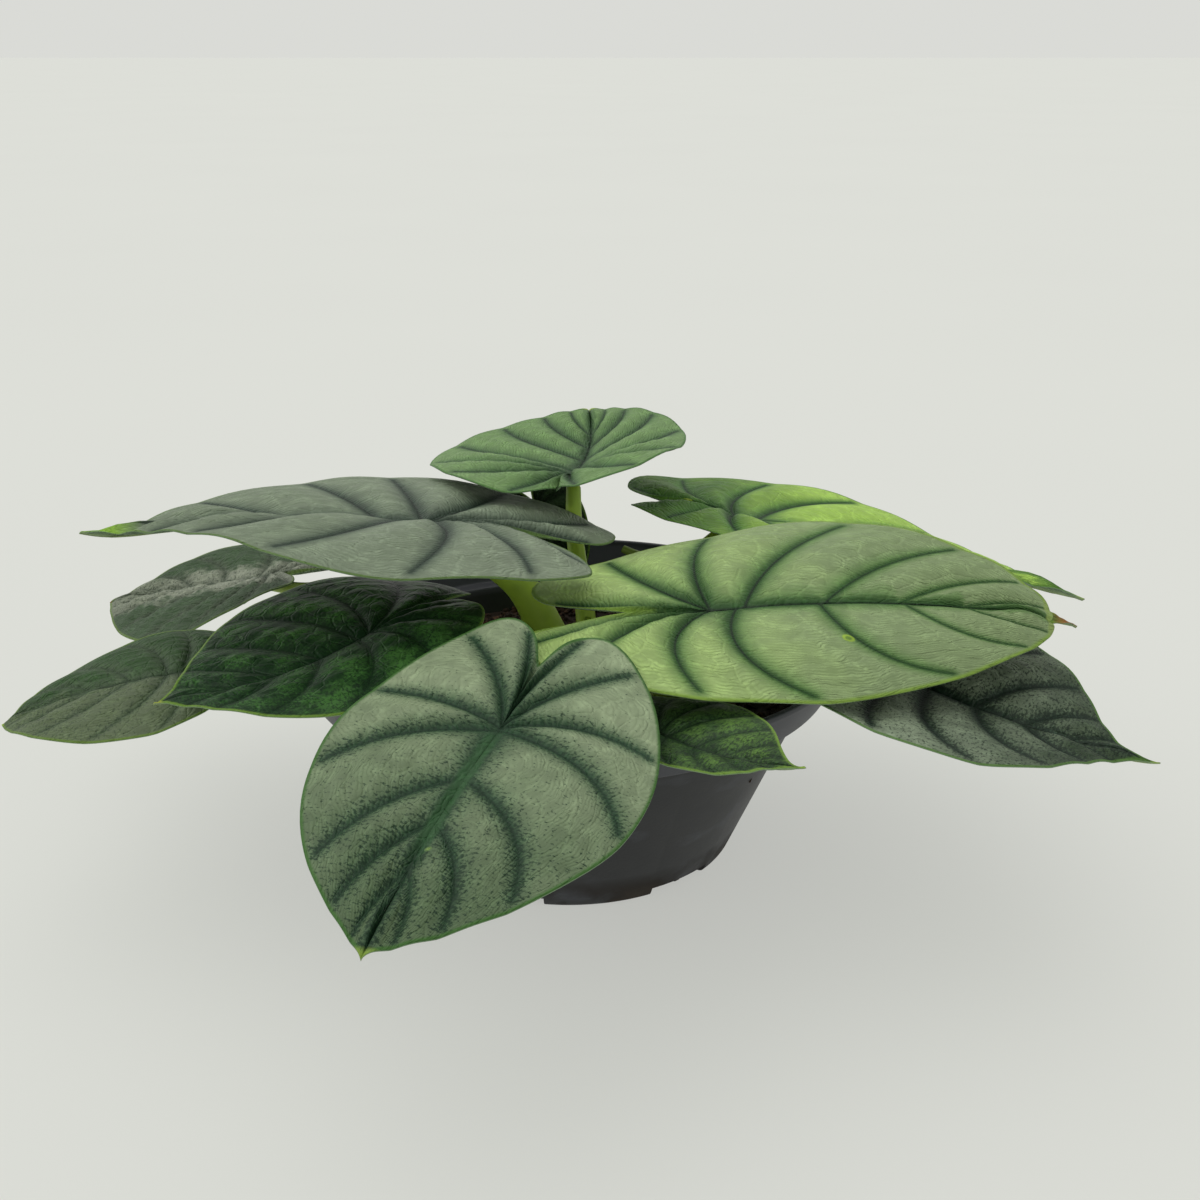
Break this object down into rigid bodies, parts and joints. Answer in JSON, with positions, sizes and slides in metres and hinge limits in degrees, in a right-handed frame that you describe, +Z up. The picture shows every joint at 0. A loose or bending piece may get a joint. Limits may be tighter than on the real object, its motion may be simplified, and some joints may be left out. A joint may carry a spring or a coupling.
{
  "type": "potted silver dragon alocasia",
  "caption": "Low rosette of heart-shaped silver-green leaves with dark sunken veins on short stalks, in a round tapered nursery pot with a collar rim.",
  "frame": {"origin": "middle of the flat underside of the pot", "axes": "+Z up, +X to the right seen from the front, the front with the hanging silver leaf faces -Y"},
  "size_m": [0.279, 0.2526, 0.1045],
  "materials": {
    "pot_plastic": "slightly glossy black polypropylene with fine scuffs",
    "potting_mix": "dark damp peat and bark crumbs",
    "stalk_lime": "smooth, slightly translucent yellow-green",
    "stalk_green": "smooth, slightly translucent green",
    "leaf_silver": "silver-grey leather-like leaf with dark green sunken veins",
    "leaf_bright": "light green leaf with dark green sunken veins",
    "leaf_mid": "mid green satin leaf with dark green veins",
    "leaf_dark": "dark green glossy leaf with faint silver panels"
  },
  "bodies": {
    "root": {"pot": "pot_plastic", "soil": "potting_mix", "crown_main": "stalk_lime", "crown_left": "stalk_green", "crown_right": "stalk_green", "crown_back": "stalk_lime", "crown_offset": "stalk_green", "blade_top": "leaf_mid", "blade_silver_left": "leaf_silver", "blade_green_right": "leaf_bright", "blade_back_right": "leaf_mid", "blade_silver_front": "leaf_silver", "blade_dark_left": "leaf_dark", "blade_far_left_upper": "leaf_dark", "blade_far_left_lower": "leaf_dark", "blade_small_front": "leaf_dark", "blade_dark_right": "leaf_dark", "blade_young_back": "leaf_dark", "blade_small_right": "leaf_mid"}
  },
  "joints": []
}
